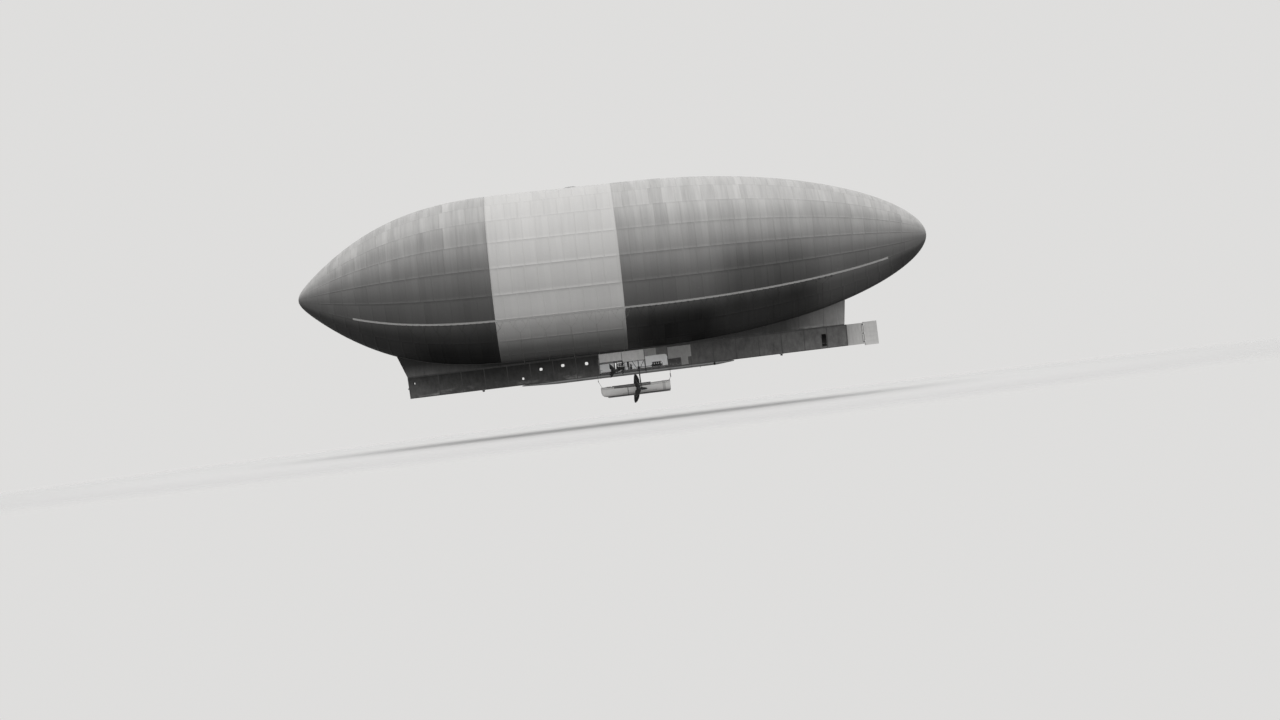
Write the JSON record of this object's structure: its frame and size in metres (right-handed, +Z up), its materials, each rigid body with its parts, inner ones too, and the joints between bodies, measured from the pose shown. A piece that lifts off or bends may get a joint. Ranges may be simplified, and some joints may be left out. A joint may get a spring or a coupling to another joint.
{
  "type": "non-rigid airship with a long fabric-sided car and a lifeboat, scale model at 1:2",
  "caption": "Scale model at 1:2 of an early non-rigid airship: gas envelope, long fabric-covered car along its belly, engines, propellers, rudder and a lifeboat slung below.",
  "frame": {"origin": "centre of the envelope's volume, on its axis, where the ship is held up by the air", "axes": "+X towards the bow along the level car, +Y to port, +Z up"},
  "size_m": [34.7471, 9.218, 12.2623],
  "materials": {
    "cloth": "matte rubbered cotton",
    "band": "matte rubbered cotton, newer",
    "strip": "matte webbing and rope",
    "skirt": "matte canvas",
    "cover": "matte proofed canvas",
    "canvas": "matte bare canvas",
    "steel": "satin black paint",
    "tank": "dull galvanised",
    "wood": "oiled",
    "blade": "dark varnish",
    "engine": "oily",
    "boat": "pale grey paint",
    "boat_trim": "dark varnish",
    "rope": "tarred hemp",
    "rudder": "matte doped cloth"
  },
  "bodies": {
    "airship": {"envelope_bow": "cloth", "envelope_band": "band", "envelope_stern": "cloth", "suspension_port": "strip", "suspension_starboard": "strip", "gas_valve": "steel", "skirt_bow": "skirt", "skirt_stern": "skirt", "cover_bow_port": "cover", "cover_bow_starboard": "cover", "cover_stern_port": "cover", "cover_stern_starboard": "cover", "canvas_fore_port": "canvas", "canvas_fore_starboard": "canvas", "canvas_aft_port": "canvas", "canvas_aft_starboard": "canvas", "end_cover_bow": "cover", "end_cover_stern": "cover", "side_frame_bow_port": "steel", "side_frame_bow_starboard": "steel", "side_frame_mid_port": "steel", "side_frame_mid_starboard": "steel", "side_frame_stern_port": "steel", "side_frame_stern_starboard": "steel", "top_ties": "steel", "keel_ties": "steel", "floor_fore": "wood", "floor_aft": "wood", "engine_bed": "wood", "fuel_tank": "tank", "engine_forward": "engine", "engine_aft": "engine", "blower_engine": "engine", "air_duct": "skirt", "radiator": "engine", "drive_shaft": "steel", "outrigger_forward": "steel", "swivel_hanger": "steel", "tail_fin": "rudder", "lifeboat_hull": "boat", "lifeboat_deck": "boat_trim", "lifeboat_thwarts": "wood", "boat_fall_forward": "rope", "boat_fall_aft": "rope", "drag_line_bracket": "steel", "handling_bracket": "steel", "bow_fitting": "steel"},
    "fore_propeller_port": {"propeller_fore_port": "blade"},
    "fore_propeller_starboard": {"propeller_fore_starboard": "blade"},
    "swivel_port": {"swivel_arm_port": "steel"},
    "swivel_starboard": {"swivel_arm_starboard": "steel"},
    "swivel_propeller_port": {"propeller_swivel_port": "blade"},
    "swivel_propeller_starboard": {"propeller_swivel_starboard": "blade"},
    "rudder": {"rudder": "rudder"}
  },
  "joints": [
    {"name": "fore_port_spin", "type": "hinge", "parent": "airship", "child": "fore_propeller_port", "pos_m": [0.257, 1.4, -5.645], "axis": [1, 0, 0], "continuous": true},
    {"name": "fore_starboard_spin", "type": "hinge", "parent": "airship", "child": "fore_propeller_starboard", "pos_m": [0.257, -1.4, -5.645], "axis": [1, 0, 0], "continuous": true},
    {"name": "swivel_port_tilt", "type": "hinge", "parent": "airship", "child": "swivel_port", "pos_m": [-1.23, 1.4, -6.813], "axis": [0, 1, 0], "range_deg": [-84, 96]},
    {"name": "swivel_starboard_tilt", "type": "hinge", "parent": "airship", "child": "swivel_starboard", "pos_m": [-1.23, -1.4, -6.813], "axis": [0, 1, 0], "range_deg": [-84, 96]},
    {"name": "swivel_port_spin", "type": "hinge", "parent": "swivel_port", "child": "swivel_propeller_port", "pos_m": [-0.98435, 1.4, -6.78718], "axis": [0.9945, 0, 0.1045], "continuous": true},
    {"name": "swivel_starboard_spin", "type": "hinge", "parent": "swivel_starboard", "child": "swivel_propeller_starboard", "pos_m": [-0.98435, -1.4, -6.78718], "axis": [0.9945, 0, 0.1045], "continuous": true},
    {"name": "rudder_turn", "type": "hinge", "parent": "airship", "child": "rudder", "pos_m": [-13.795, 0, -5.3], "axis": [0, 0, 1], "range_deg": [-30, 30]}
  ],
  "couplings": [
    {"joint": "swivel_starboard_tilt", "follows": "swivel_port_tilt", "ratio": 1}
  ]
}
